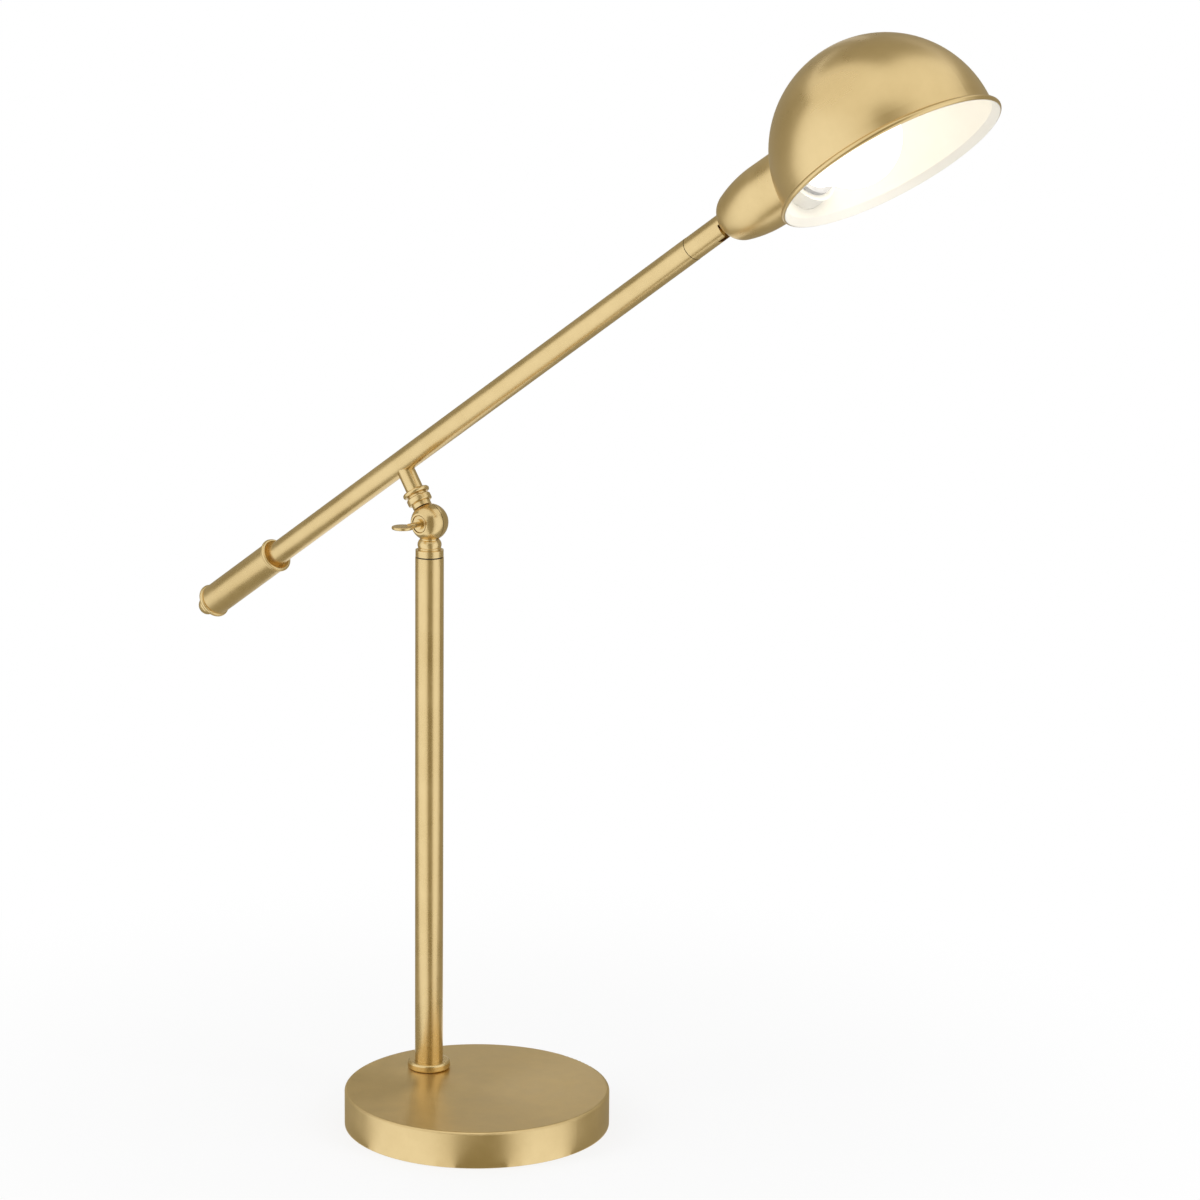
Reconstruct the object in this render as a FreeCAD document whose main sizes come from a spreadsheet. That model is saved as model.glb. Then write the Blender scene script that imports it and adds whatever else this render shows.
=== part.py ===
import FreeCAD, Part
import os
import re
import Sketcher
from FreeCAD import Vector

# Dome shade desk lamp. Millimetres, +Z up. The origin is the centre of the base on the table,
# and +X is the direction in which the arm points.
SIZES = {
    # round base
    "base_diameter": 178.0,
    "base_height": 25.1,
    "base_edge_radius": 1.8,
    "cover_thickness": 1.4,
    "cover_lift": 0.6,
    "weight_clearance": 0.2,
    "pad_thickness": 1.6,
    "pad_inset": 3.0,
    "nut_recess_diameter": 34.0,
    "nut_recess_depth": 11.0,
    "channel_clearance": 0.8,
    "bushing_bore": 6.4,
    "bushing_diameter": 10.4,
    "bushing_flange_diameter": 14.0,
    "bushing_flange_thickness": 1.6,
    "bushing_length": 6.0,
    "bushing_height": 9.5,
    # pole and what stands on it
    "pole_offset": 51.9,
    "pole_bearing": 8.2,
    "pole_diameter": 19.0,
    "pole_wall": 1.5,
    "pole_top": 376.2,
    "foot_collar_diameter": 28.8,
    "foot_collar_height": 5.6,
    "foot_collar_edge": 1.7,
    "rod_diameter": 10.0,
    "rod_bore": 6.4,
    "rod_into_cap": 12.0,
    "rod_below_nut": 1.0,
    "nut_width": 17.0,
    "nut_thickness": 5.0,
    "washer_diameter": 26.0,
    "washer_thickness": 1.5,
    "fit_clearance": 0.05,
    "cap_height": 4.6,
    "cap_spigot_length": 14.0,
    "post_diameter": 11.0,
    "post_length": 8.8,
    "post_bore": 6.0,
    "post_groove_depth": 1.0,
    "post_groove_height": 4.2,
    "swivel_screw_diameter": 3.0,
    "screw_sink": 0.3,
    "swivel_disc_diameter": 17.2,
    "swivel_disc_thickness": 0.8,
    # ball knuckle
    "ball_above_bead": 11.5,
    "ball_diameter": 25.0,
    "knuckle_gap": 0.4,
    "knuckle_clearance": 0.5,
    "collar_diameter": 18.7,
    "collar_height": 4.3,
    "cove_diameter": 15.2,
    "cove_height": 1.4,
    "bead_height": 5.6,
    "bead_fullness": 2.2,
    "neck_diameter": 12.8,
    "ring_gap": 1.8,
    "ring_diameter": 16.6,
    "ring_height": 4.6,
    "ring_edge": 1.1,
    "ring_cove_diameter": 13.0,
    "ring_cove_height": 1.4,
    "top_bead_diameter": 18.4,
    "top_bead_height": 3.2,
    "boss_face": 10.2,
    "boss_recess_diameter": 12.2,
    "boss_recess_depth": 1.5,
    "key_washer_diameter": 11.4,
    "key_washer_thickness": 1.5,
    "key_washer_edge": 0.6,
    "key_shank_diameter": 5.0,
    "key_collar_diameter": 7.0,
    "key_collar_height": 1.6,
    "key_neck_diameter": 3.6,
    "key_reach": 25.9,
    "key_paddle_diameter": 14.4,
    "key_paddle_thickness": 2.0,
    "key_paddle_edge": 0.8,
    "key_paddle_lap": 1.5,
    "key_thread_length": 8.0,
    "key_thread_relief": 1.0,
    # stem and boom
    "boom_elevation": 34.0,
    "boom_height": 44.6,
    "stem_diameter": 11.8,
    "nipple_diameter": 8.0,
    "nipple_bore": 4.4,
    "nipple_floor": 1.0,
    "nipple_into_boom": 3.6,
    "boom_diameter": 15.8,
    "boom_wall": 1.2,
    "boom_seam": 297.0,
    "insert_length": 26.0,
    # counterweight
    "weight_top": 143.0,
    "weight_length": 77.0,
    "weight_diameter": 21.8,
    "lip_diameter": 24.2,
    "lip_radius": 1.5,
    "lip_recess_depth": 2.0,
    "lip_recess_diameter": 20.6,
    "lip_recess_bend": 6.9,
    "lip_neck": 0.9,
    "weight_end_gap": 7.0,
    "slug_top_gap": 8.0,
    "finial_diameter": 13.2,
    "finial_seat_diameter": 10.6,
    "finial_reach": 12.4,
    "finial_thread_diameter": 6.0,
    "finial_thread_length": 14.0,
    # swivel at the outer end of the boom
    "seam_gap": 0.4,
    "plug_length": 22.0,
    "swivel_post_diameter": 8.0,
    "swivel_post_bore": 4.4,
    "swivel_bush_length": 7.0,
    "retainer_diameter": 11.0,
    "retainer_thickness": 2.2,
    "stub_bore": 11.8,
    "stub_diameter": 15.6,
    "slot_width": 6.4,
    "slot_floor": 11.4,
    "stub_end_gap": 0.5,
    "shade_travel": 30.0,
    "hinge_distance": 16.2,
    "hinge_pin_diameter": 3.0,
    "tongue_width": 5.8,
    "tongue_radius": 5.2,
    "tongue_clearance": 0.4,
    "tongue_neck_radius": 2.6,
    "tongue_shank_diameter": 5.2,
    "tongue_shank_spare": 1.0,
    # socket cup, lampholder and bulb
    "cup_droop": 1.4,
    "cup_gap": 15.0,
    "cup_diameter": 40.8,
    "cup_wall": 1.4,
    "cup_nose_bend": 15.6,
    "cup_flare_bend": 97.8,
    "cup_flare_length": 40.0,
    "cup_nut_thickness": 3.0,
    "cup_nut_width": 13.0,
    "holder_clearance": 0.7,
    "holder_end": 91.8,
    "holder_floor": 10.0,
    "shell_diameter": 27.6,
    "shell_wall": 0.6,
    "shell_setback": 3.0,
    "contact_width": 6.0,
    "contact_height": 3.0,
    "terminal_screw_diameter": 4.0,
    "terminal_screw_length": 5.0,
    "terminal_screw_spacing": 18.4,
    "bulb_diameter": 60.0,
    "bulb_centre": 126.8,
    "bulb_seat": 38.0,
    "bulb_neck_diameter": 27.0,
    "bulb_shoulder_diameter": 39.0,
    "bulb_wall": 1.0,
    "cap_diameter": 26.0,
    "cap_length": 24.0,
    "cap_wall": 0.5,
    "eyelet_diameter": 9.6,
    "eyelet_height": 2.4,
    # shade
    "shade_along": 145.6,
    "shade_drop": 27.8,
    "shade_lean": 3.6,
    "shade_radius": 68.5,
    "shade_skirt": 10.3,
    "shade_wall": 1.0,
    "rim_diameter": 144.4,
    "rim_roll_radius": 1.8,
    "shade_ring_diameter": 44.0,
    "shade_ring_reach": 24.0,
    "shade_ring_setback": 3.0,
}

doc = FreeCAD.newDocument("DomeShadeDeskLamp")
sheet = doc.addObject("Spreadsheet::Sheet", "Sizes")
for row, (alias, size) in enumerate(SIZES.items(), start=1):
    sheet.set("A%d" % row, alias)
    sheet.set("B%d" % row, str(size))
    sheet.setAlias("B%d" % row, alias)
doc.recompute()

ALIAS = re.compile(r"\b(" + "|".join(SIZES) + r")\b")
NODES = []
FULL_TURN = 360
HALF_CIRCLE_SLACK = 1e-6
EDGE_MATCH = 1e-4
EDGE_LIMIT = 0.45


def bound(text):
    """Expression text with each alias pointing at the sheet."""
    return ALIAS.sub(r"Sizes.\1", str(text))


def number(text):
    """Present value of an expression."""
    result = sheet.evalExpression(bound(text))
    return float(getattr(result, "Value", result))


# Places that several pieces share, as expressions.
POLE_X = "(-pole_offset * cos(pole_bearing))"
POLE_Y = "(pole_offset * sin(pole_bearing))"
SIN_E = "sin(boom_elevation)"
COS_E = "cos(boom_elevation)"
HEAD_TILT = "(90 - boom_elevation + cup_droop)"
CAP_TOP = "(pole_top + cap_height)"
COLLAR_LOW = f"({CAP_TOP} + swivel_disc_thickness)"
COLLAR_TOP = f"({COLLAR_LOW} + collar_height)"
COVE_TOP = f"({COLLAR_TOP} + cove_height)"
BEAD_TOP = f"({COVE_TOP} + bead_height)"
BALL_Z = f"({BEAD_TOP} + ball_above_bead)"
HINGE_ALONG = "(boom_seam + hinge_distance)"


def arm_point(along, above):
    """A point given along the boom and square to it, from the centre of the ball."""
    x = f"{POLE_X} + {along} * {COS_E} - {above} * {SIN_E}"
    z = f"{BALL_Z} + {along} * {SIN_E} + {above} * {COS_E}"
    return x, z


BOOM_X, BOOM_Z = arm_point("0", "boom_height")
HINGE_X, HINGE_Z = arm_point(HINGE_ALONG, "boom_height")
SHADE_ANGLE = "(boom_elevation - cup_droop + shade_lean)"
SHADE_X = (f"{HINGE_X} + shade_along * cos(boom_elevation - cup_droop)"
           " + shade_drop * sin(boom_elevation - cup_droop)")
SHADE_Z = (f"{HINGE_Z} + shade_along * sin(boom_elevation - cup_droop)"
           " - shade_drop * cos(boom_elevation - cup_droop)")

SCREW_Z = f"({COLLAR_LOW} + collar_height / 2)"
SCREW_R = "swivel_screw_diameter / 2"

# Each frame: origin x, y, z, then the axis and angle of its turn.
FRAMES = {
    "base": ("0", "0", "0", "0; 0; 1", "0"),
    "pole": (POLE_X, POLE_Y, "0", "0; 0; 1", "0"),
    "spine": ("0", "0", "0", "0; 0; 1", "-pole_bearing"),
    "rim": ("0", "0", "bushing_height", "-sin(pole_bearing); -cos(pole_bearing); 0", "90"),
    "knuckle": (POLE_X, POLE_Y, BALL_Z, "0; 0; 1", "0"),
    "hinge": (POLE_X, POLE_Y, BALL_Z, "1; 0; 0", "90"),
    "stem": (POLE_X, POLE_Y, BALL_Z, "0; 1; 0", "-boom_elevation"),
    "boom": (BOOM_X, POLE_Y, BOOM_Z, "0; 1; 0", "90 - boom_elevation"),
    "head": (HINGE_X, POLE_Y, HINGE_Z, "0; 1; 0", HEAD_TILT),
    "half_lowered": (HINGE_X, POLE_Y, HINGE_Z, "0; 1; 0", f"{HEAD_TILT} + shade_travel / 2"),
    "lowered": (HINGE_X, POLE_Y, HINGE_Z, "0; 1; 0", f"{HEAD_TILT} + shade_travel"),
    "tilt": (HINGE_X, POLE_Y, HINGE_Z, "1; 0; 0", "90"),
    "swivel_screw": (POLE_X, POLE_Y, SCREW_Z, "0; 1; 0", "-90"),
    "paddle": (POLE_X, f"{POLE_Y} - key_reach", BALL_Z, "0; 0; 1", "0"),
    "shade": (SHADE_X, POLE_Y, SHADE_Z, "0; 1; 0", f"-{SHADE_ANGLE}"),
}


def place(obj, frame, offset=("0", "0", "0")):
    """Put an object in a named frame, shifted inside that frame."""
    x, y, z, axis, angle = FRAMES[frame]
    turn = f"rotation(vector({axis}); {angle})"
    shift = "vector(%s; %s; %s)" % offset
    home = f"placement(vector({x}; {y}; {z}); {turn})"
    inner = f"placement({shift}; rotation(vector(0; 0; 1); 0))"
    obj.setExpression("Placement", bound(f"{home} * {inner}"))


def plane_of(body, role):
    """One of a body's own origin planes."""
    return [item for item in body.Origin.OriginFeatures if item.Role == role][0]


def hold(sketch, geometry, end, x, y):
    """Fix a sketch point at expressions x, y."""
    for kind, text, axis in (("DistanceX", x, -2), ("DistanceY", y, -1)):
        if text == "0":
            sketch.addConstraint(Sketcher.Constraint("PointOnObject", geometry, end, axis))
            continue
        at = sketch.addConstraint(
            Sketcher.Constraint(kind, -1, 1, geometry, end, number(text)))
        sketch.setExpression("Constraints[%d]" % at, bound(text))


def arc_centre(start, end, radius):
    """Centre of an arc from start to end; a positive radius turns anticlockwise."""
    chord = end - start
    middle = (start + end) * 0.5
    height = max(radius * radius - chord.Length ** 2 / 4, 0) ** 0.5
    normal = Vector(-chord.y, chord.x, 0).normalize()
    return middle + normal * (height if radius > 0 else -height)


def draw(sketch, outline):
    """Closed outline of (x, y) or (x, y, radius) points; a radius bends the side that ends there."""
    points = [Vector(number(p[0]), number(p[1]), 0) for p in outline]
    ends = []
    for i, point in enumerate(outline):
        start = points[i - 1]
        end = points[i]
        if len(point) == 2:
            sketch.addGeometry(Part.LineSegment(start, end), False)
            ends.append((1, 2))
            continue
        radius = number(point[2])
        centre = arc_centre(start, end, radius)
        first = (start - centre).getAngle(Vector(1, 0, 0))
        first = first if start.y >= centre.y else -first
        last = (end - centre).getAngle(Vector(1, 0, 0))
        last = last if end.y >= centre.y else -last
        circle = Part.Circle(centre, Vector(0, 0, 1), abs(radius))
        if radius > 0:
            sketch.addGeometry(Part.ArcOfCircle(circle, first, last), False)
            ends.append((1, 2))
        else:
            sketch.addGeometry(Part.ArcOfCircle(circle, last, first), False)
            ends.append((2, 1))
    count = len(outline)
    for i in range(count):
        after = (i + 1) % count
        sketch.addConstraint(
            Sketcher.Constraint("Coincident", i, ends[i][1], after, ends[after][0]))
    for i, point in enumerate(outline):
        hold(sketch, i, ends[i][1], point[0], point[1])
        if len(point) == 3:
            radius = number(point[2])
            chord = (points[i] - points[i - 1]).Length
            if abs(chord - 2 * abs(radius)) < HALF_CIRCLE_SLACK:
                # The centre of a half circle lies straight above its lower end.
                sketch.addConstraint(Sketcher.Constraint("Vertical", i, 3, i, 1))
                continue
            at = sketch.addConstraint(Sketcher.Constraint("Radius", i, abs(radius)))
            sign = "" if radius > 0 else "-"
            sketch.setExpression("Constraints[%d]" % at, bound(f"{sign}({point[2]})"))


def sketched(name, role, outline):
    """A body with one outline on one of its planes."""
    body = doc.addObject("PartDesign::Body", name)
    sketch = body.newObject("Sketcher::SketchObject", name + "_outline")
    sketch.AttachmentSupport = (plane_of(body, role), [""])
    sketch.MapMode = "FlatFace"
    draw(sketch, outline)
    return body, sketch


def turned(name, frame, outline, offset=("0", "0", "0")):
    """A piece turned about its own Z axis; the outline is in radius and height."""
    body, sketch = sketched(name, "XZ_Plane", outline)
    turn = body.newObject("PartDesign::Revolution", name + "_turned")
    turn.Profile = sketch
    turn.ReferenceAxis = (sketch, ["V_Axis"])
    turn.Angle = FULL_TURN
    place(body, frame, offset)
    doc.recompute()
    return body


def ring(name, frame, outer, inner, low, high):
    """A plain tube or washer between two heights."""
    return turned(name, frame, [(inner, low), (outer, low), (outer, high), (inner, high)])


def disc(name, frame, radius, low, high):
    """A plain solid cylinder between two heights."""
    return turned(name, frame, [("0", low), (radius, low), (radius, high), ("0", high)])


def rounded(body, name, radius, spots):
    """Fillet the circular edges that lie at given radii and heights of a turned piece."""
    names = []
    for i, edge in enumerate(body.Tip.Shape.Edges, start=1):
        curve = edge.Curve
        if not isinstance(curve, Part.Circle):
            continue
        for spot_radius, spot_height in spots:
            same_radius = abs(curve.Radius - number(spot_radius)) < EDGE_MATCH
            same_height = abs(curve.Center.z - number(spot_height)) < EDGE_MATCH
            if same_radius and same_height:
                names.append("Edge%d" % i)
    base = body.Tip
    fillet = body.newObject("PartDesign::Fillet", name)
    fillet.Base = (base, names)
    fillet.setExpression("Radius", bound(radius))
    body.Tip = fillet
    doc.recompute()
    return body


def limited(radius, wall):
    """A fillet radius that stays inside the wall it is cut from."""
    return f"min({radius}; {wall} * {EDGE_LIMIT})"


def block(name, frame, length, width, height, offset):
    """A box in a frame; offset is its low corner."""
    box = doc.addObject("Part::Box", name)
    box.setExpression("Length", bound(length))
    box.setExpression("Width", bound(width))
    box.setExpression("Height", bound(height))
    place(box, frame, offset)
    return box


def rod(name, frame, radius, height, offset=("0", "0", "0")):
    """A cylinder in a frame."""
    cylinder = doc.addObject("Part::Cylinder", name)
    cylinder.setExpression("Radius", bound(radius))
    cylinder.setExpression("Height", bound(height))
    place(cylinder, frame, offset)
    return cylinder


def ball(name, frame, radius, offset=("0", "0", "0")):
    """A sphere in a frame."""
    sphere = doc.addObject("Part::Sphere", name)
    sphere.setExpression("Radius", bound(radius))
    place(sphere, frame, offset)
    return sphere


def hexagon(name, frame, width, height, offset):
    """A hexagonal prism across flats, in a frame."""
    prism = doc.addObject("Part::Prism", name)
    prism.Polygon = 6
    prism.setExpression("Circumradius", bound(f"{width} / sqrt(3)"))
    prism.setExpression("Height", bound(height))
    place(prism, frame, offset)
    return prism


def cut(name, base, tool):
    """Base less tool."""
    result = doc.addObject("Part::Cut", name)
    result.Base = base
    result.Tool = tool
    doc.recompute()
    return result


def fuse(name, *shapes):
    """Several solids made one."""
    result = doc.addObject("Part::MultiFuse", name)
    result.Shapes = list(shapes)
    doc.recompute()
    return result


def common(name, *shapes):
    """What several solids share."""
    result = doc.addObject("Part::MultiCommon", name)
    result.Shapes = list(shapes)
    doc.recompute()
    return result


def node(obj, label):
    """Name a finished piece."""
    obj.Label = label
    NODES.append(obj)
    return obj


# ---------------------------------------------------------------- base
COVER_R = "base_diameter / 2"
INNER_R = "(base_diameter / 2 - cover_thickness)"
INNER_TOP = "(base_height - cover_thickness)"
ROD_R = "rod_diameter / 2"
NUT_FLOOR = "(pad_thickness + nut_recess_depth)"


def make_base():
    cover = turned("CoverShell", "base", [
        (INNER_R, "cover_lift"),
        (COVER_R, "cover_lift"),
        (COVER_R, "base_height - base_edge_radius"),
        (f"{COVER_R} - base_edge_radius", "base_height", "base_edge_radius"),
        ("0", "base_height"),
        ("0", INNER_TOP),
        (INNER_R, INNER_TOP)])
    rod_hole = rod("CoverRodHole", "pole", f"{ROD_R} + fit_clearance", "base_height * 2")
    inlet = rod("CoverInlet", "rim", "bushing_diameter / 2", "base_diameter")
    node(cut("CoverDrilled", cover, fuse("CoverHoles", rod_hole, inlet)), "base_cover")

    blank = disc("WeightBlank", "base", f"{INNER_R} - weight_clearance", "pad_thickness", INNER_TOP)
    through = rod("WeightRodHole", "pole", f"{ROD_R} + weight_clearance", "base_height")
    recess = rod("WeightRecess", "pole", "nut_recess_diameter / 2", NUT_FLOOR)
    channel_width = "(bushing_diameter + 2 * channel_clearance)"
    channel = block("WeightChannel", "spine", "base_diameter - pole_offset", channel_width,
                    f"bushing_height + {channel_width} / 2",
                    ("-base_diameter", f"-{channel_width} / 2", "0"))
    cuts = fuse("WeightCuts", through, recess, channel)
    node(cut("WeightCast", blank, cuts), "base_weight")

    node(disc("PadDisc", "base", f"{INNER_R} - pad_inset", "0", "pad_thickness"), "base_pad")

    bore = "bushing_bore / 2"
    body = "bushing_diameter / 2"
    flange = "bushing_flange_diameter / 2"
    outside = f"{COVER_R} + bushing_flange_thickness"
    inside = f"{COVER_R} - bushing_length"
    node(turned("BushingTurned", "rim", [
        (bore, inside),
        (body, inside),
        (body, COVER_R),
        (flange, COVER_R),
        (flange, outside),
        (bore, outside)]), "cord_bushing")


# ---------------------------------------------------------------- pole
POLE_R = "pole_diameter / 2"
POLE_BORE = "(pole_diameter / 2 - pole_wall)"
POST_TOP = f"({CAP_TOP} + post_length)"
GROOVE_LOW = f"({SCREW_Z} - post_groove_height / 2)"


def make_pole():
    collar_r = "foot_collar_diameter / 2"
    collar_top = "(base_height + foot_collar_height)"
    collar = ring("FootCollar", "pole", collar_r, f"{POLE_R} + fit_clearance", "base_height", collar_top)
    edge = limited("foot_collar_edge", "foot_collar_height")
    node(rounded(collar, "FootCollarEdge", edge, [(collar_r, "base_height"), (collar_r, collar_top)]),
         "foot_collar")

    node(ring("PoleTube", "pole", POLE_R, POLE_BORE, "base_height", "pole_top"), "pole")

    rod_low = f"({NUT_FLOOR} - washer_thickness - nut_thickness - rod_below_nut)"
    rod_top = "(pole_top - cap_spigot_length + rod_into_cap)"
    node(ring("TieRod", "pole", ROD_R, "rod_bore / 2", rod_low, rod_top), "tie_rod")

    washer_low = f"{NUT_FLOOR} - washer_thickness"
    node(ring("TieWasher", "pole", "washer_diameter / 2", f"{ROD_R} + fit_clearance",
              washer_low, NUT_FLOOR), "tie_washer")
    nut = hexagon("TieNutBlank", "pole", "nut_width", "nut_thickness",
                  ("0", "0", f"{washer_low} - nut_thickness"))
    nut_hole = rod("TieNutHole", "pole", ROD_R, "base_height")
    node(cut("TieNutTapped", nut, nut_hole), "tie_nut")

    spigot = f"({POLE_BORE} - fit_clearance)"
    spigot_low = "pole_top - cap_spigot_length"
    post = "post_diameter / 2"
    groove = "post_diameter / 2 - post_groove_depth"
    node(turned("PoleCap", "pole", [
        (ROD_R, spigot_low),
        (spigot, spigot_low),
        (spigot, "pole_top"),
        (POLE_R, "pole_top"),
        (POLE_R, CAP_TOP),
        (post, CAP_TOP),
        (post, GROOVE_LOW),
        (groove, GROOVE_LOW),
        (groove, f"{GROOVE_LOW} + post_groove_height"),
        (post, f"{GROOVE_LOW} + post_groove_height"),
        (post, POST_TOP),
        ("post_bore / 2", POST_TOP),
        ("post_bore / 2", f"{spigot_low} + rod_into_cap"),
        (ROD_R, f"{spigot_low} + rod_into_cap")]), "pole_cap")
    node(ring("SwivelDisc", "pole", "swivel_disc_diameter / 2", f"{post} + fit_clearance",
              CAP_TOP, f"{CAP_TOP} + swivel_disc_thickness"), "swivel_disc")


# ---------------------------------------------------------------- ball knuckle
BALL_R = "ball_diameter / 2"
HALF_GAP = "knuckle_gap / 2"
KEY_R = "key_shank_diameter / 2"
BIG = "ball_diameter * 2"


def half_ball(name, frame, side):
    """Half of the knuckle's ball; side -1 is the half with the key, 1 the other."""
    low = f"-{BIG} - {HALF_GAP}" if side < 0 else HALF_GAP
    half = block(name + "Half", "knuckle", f"2 * {BIG}", BIG, f"2 * {BIG}", (f"-{BIG}", low, f"-{BIG}"))
    return common(name, ball(name + "Ball", frame, BALL_R), half)


def make_swivel():
    bore = "post_diameter / 2 + fit_clearance"
    collar = "collar_diameter / 2"
    cove = "cove_diameter / 2"
    neck = "neck_diameter / 2"
    bead_bend = "(bead_height / 2 + bead_fullness)"
    foot = turned("LowerNeck", "pole", [
        (bore, COLLAR_LOW),
        (collar, COLLAR_LOW),
        (collar, COLLAR_TOP),
        (cove, COLLAR_TOP),
        (cove, COVE_TOP),
        (neck, BEAD_TOP, bead_bend),
        (neck, f"{BALL_Z} - ball_diameter / 4"),
        ("0", f"{BALL_Z} - ball_diameter / 4"),
        ("0", f"{POST_TOP} + seam_gap"),
        (bore, f"{POST_TOP} + seam_gap")])
    room = ball("LowerRoom", "knuckle", f"{BALL_R} + knuckle_clearance")
    far = block("LowerFar", "knuckle", f"2 * {BIG}", BIG, f"2 * {BIG}", (f"-{BIG}", HALF_GAP, f"-{BIG}"))
    cleared = cut("LowerNeckCleared", foot, common("LowerClearance", room, far))
    # A thin step keeps the neck below the gap between the two halves.
    flush = block("LowerFlush", "knuckle", f"2 * {BIG}", "knuckle_gap", f"2 * {BIG}",
                  (f"-{BIG}", f"-{HALF_GAP}", f"-({BALL_R})"))
    near = half_ball("NearHalf", "knuckle", -1)
    joined = fuse("LowerJoined", cut("LowerNeckStepped", cleared, flush), near)
    face = rod("BossFace", "hinge", BALL_R, BALL_R, ("0", "0", "boss_face"))
    recess = rod("BossRecess", "hinge", "boss_recess_diameter / 2", BALL_R,
                 ("0", "0", "boss_face - boss_recess_depth"))
    shank_hole = rod("BossHole", "hinge", f"{KEY_R} + fit_clearance", BALL_R)
    screw_hole = rod("SwivelScrewHole", "swivel_screw", SCREW_R, "collar_diameter")
    holes = fuse("LowerHoles", face, recess, shank_hole, screw_hole)
    node(cut("LowerKnuckle", joined, holes), "lower_knuckle")

    tip = "post_diameter / 2 - post_groove_depth + knuckle_clearance"
    node(disc("SwivelScrew", "swivel_screw", SCREW_R, tip, "collar_diameter / 2 - screw_sink"),
         "swivel_screw")
    node(ring("KnuckleDisc", "hinge", f"{BALL_R} - knuckle_clearance", f"{KEY_R} + fit_clearance",
              f"-{HALF_GAP}", HALF_GAP), "knuckle_disc")


def make_key():
    washer_low = "(boss_face - boss_recess_depth)"
    washer_top = f"({washer_low} + key_washer_thickness)"
    washer_r = "key_washer_diameter / 2"
    washer = ring("KeyWasher", "hinge", washer_r, f"{KEY_R} + fit_clearance", washer_low, washer_top)
    washer_edge = limited("key_washer_edge", "key_washer_thickness")
    node(rounded(washer, "KeyWasherEdge", washer_edge, [(washer_r, washer_top)]), "key_washer")
    neck_top = "(key_reach - key_paddle_diameter / 2 + key_paddle_lap)"
    shank = turned("KeyShank", "hinge", [
        ("0", f"-{HALF_GAP} - key_thread_length"),
        (KEY_R, f"-{HALF_GAP} - key_thread_length"),
        (KEY_R, washer_top),
        ("key_collar_diameter / 2", washer_top),
        ("key_collar_diameter / 2", f"{washer_top} + key_collar_height"),
        ("key_neck_diameter / 2", f"{washer_top} + key_collar_height"),
        ("key_neck_diameter / 2", neck_top),
        ("0", neck_top)])
    paddle = disc("KeyPaddle", "paddle", "key_paddle_diameter / 2", "-key_paddle_thickness / 2",
                  "key_paddle_thickness / 2")
    edges = [("key_paddle_diameter / 2", "-key_paddle_thickness / 2"),
             ("key_paddle_diameter / 2", "key_paddle_thickness / 2")]
    paddle_edge = limited("key_paddle_edge", "key_paddle_thickness")
    node(fuse("ClampKey", shank, rounded(paddle, "KeyPaddleEdge", paddle_edge, edges)), "clamp_key")


# ---------------------------------------------------------------- arm
RING_LOW = "(ball_diameter / 2 + ring_gap)"
RING_TOP = f"({RING_LOW} + ring_height)"
RING_COVE_TOP = f"({RING_TOP} + ring_cove_height)"
UPPER_TOP = f"({RING_COVE_TOP} + top_bead_height)"
BOOM_R = "boom_diameter / 2"
BOOM_BORE = "(boom_diameter / 2 - boom_wall)"
NIPPLE_R = "nipple_diameter / 2"
NIPPLE_LOW = f"({RING_LOW} + nipple_floor)"
NIPPLE_TOP = f"(boom_height - {BOOM_BORE} + nipple_into_boom)"


def make_upper_knuckle():
    neck = "neck_diameter / 2"
    ring_r = "ring_diameter / 2"
    cove = "ring_cove_diameter / 2"
    bead = "top_bead_diameter / 2"
    half_bead = "top_bead_height / 2"
    body = turned("UpperNeck", "stem", [
        ("0", "ball_diameter / 4"),
        (neck, "ball_diameter / 4"),
        (neck, RING_LOW),
        (ring_r, RING_LOW),
        (ring_r, RING_TOP),
        (cove, RING_TOP),
        (cove, RING_COVE_TOP),
        (f"{bead} - {half_bead}", RING_COVE_TOP),
        (f"{bead} - {half_bead}", UPPER_TOP, half_bead),
        ("0", UPPER_TOP)])
    rounded(body, "UpperRingEdges", limited("ring_edge", "ring_height"),
            [(ring_r, RING_LOW), (ring_r, RING_TOP)])
    near = block("UpperNear", "knuckle", f"2 * {BIG}", f"{BIG} + {HALF_GAP}", f"2 * {BIG}",
                 (f"-{BIG}", f"-{BIG}", f"-{BIG}"))
    room = ball("UpperRoomBall", "knuckle", f"{BALL_R} + knuckle_clearance")
    cleared = cut("UpperNeckCleared", body, common("UpperRoom", near, room))
    joined = fuse("UpperJoined", cleared, half_ball("FarHalf", "knuckle", 1))
    bore = rod("UpperBore", "stem", NIPPLE_R, "boom_height", ("0", "0", NIPPLE_LOW))
    thread_depth = f"({HALF_GAP} + key_thread_length + key_thread_relief)"
    thread = rod("UpperThread", "hinge", f"{KEY_R} + fit_clearance", thread_depth,
                 ("0", "0", f"-{thread_depth}"))
    node(cut("UpperKnuckle", joined, fuse("UpperHoles", bore, thread)), "upper_knuckle")


def make_stem():
    stem = ring("StemTube", "stem", "stem_diameter / 2", NIPPLE_R, UPPER_TOP, "boom_height")
    saddle = rod("StemSaddle", "boom", BOOM_R, "boom_diameter * 4", ("0", "0", "-boom_diameter * 2"))
    node(cut("Stem", stem, saddle), "stem")
    node(ring("StemNipple", "stem", NIPPLE_R, "nipple_bore / 2", NIPPLE_LOW, NIPPLE_TOP), "stem_nipple")


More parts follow.
